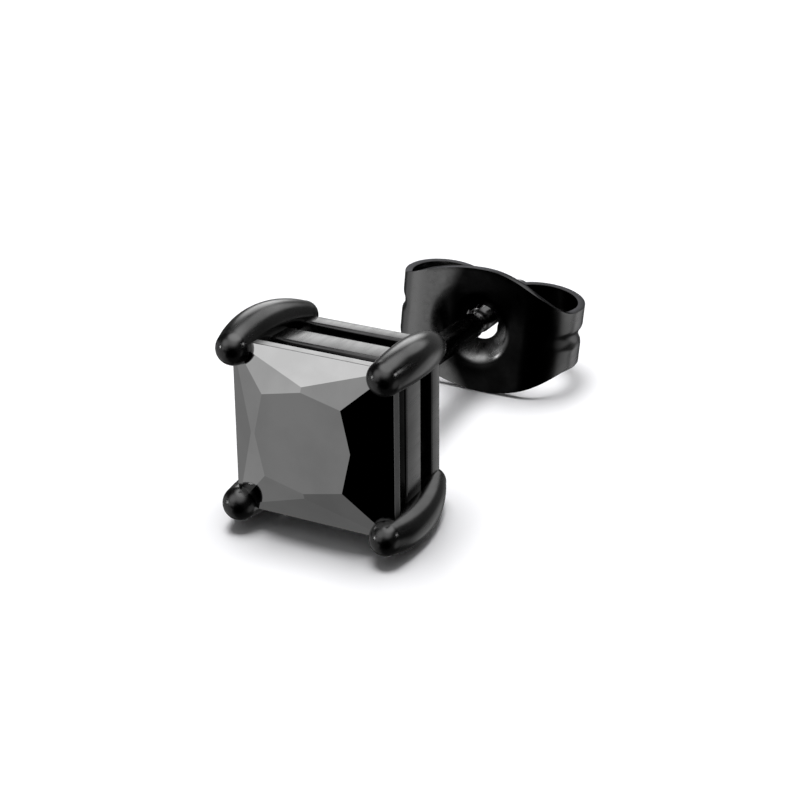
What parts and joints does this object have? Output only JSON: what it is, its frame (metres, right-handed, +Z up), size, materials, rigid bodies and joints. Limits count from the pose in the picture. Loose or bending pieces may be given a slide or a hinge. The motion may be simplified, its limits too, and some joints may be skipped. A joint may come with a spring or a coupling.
{
  "type": "stud earring with butterfly clutch",
  "caption": "Blackened square stone stud earring: faceted stone in a bowed-prong basket setting, straight post and a butterfly clutch that slides off the post.",
  "frame": {"origin": "centre of the whole earring's footprint on the surface it rests on", "axes": "+Y along the post from the stone to the post's tip (the post dips by the tilt at which the stud rests), +Z up from the surface, +X to the right of the stone seen from behind it"},
  "size_m": [0.0062, 0.0142, 0.006],
  "materials": {
    "setting": "glossy blackened steel",
    "stone": "polished opaque black",
    "clutch": "glossy blackened steel"
  },
  "bodies": {
    "stud": {"setting": "setting", "stone": "stone"},
    "clutch": {"clutch": "clutch"}
  },
  "joints": [
    {"name": "clutch_slide", "type": "slide", "parent": "stud", "child": "clutch", "axis": [0, 0.9945, -0.1049], "range_m": [-0.0059, 0.0052]}
  ]
}
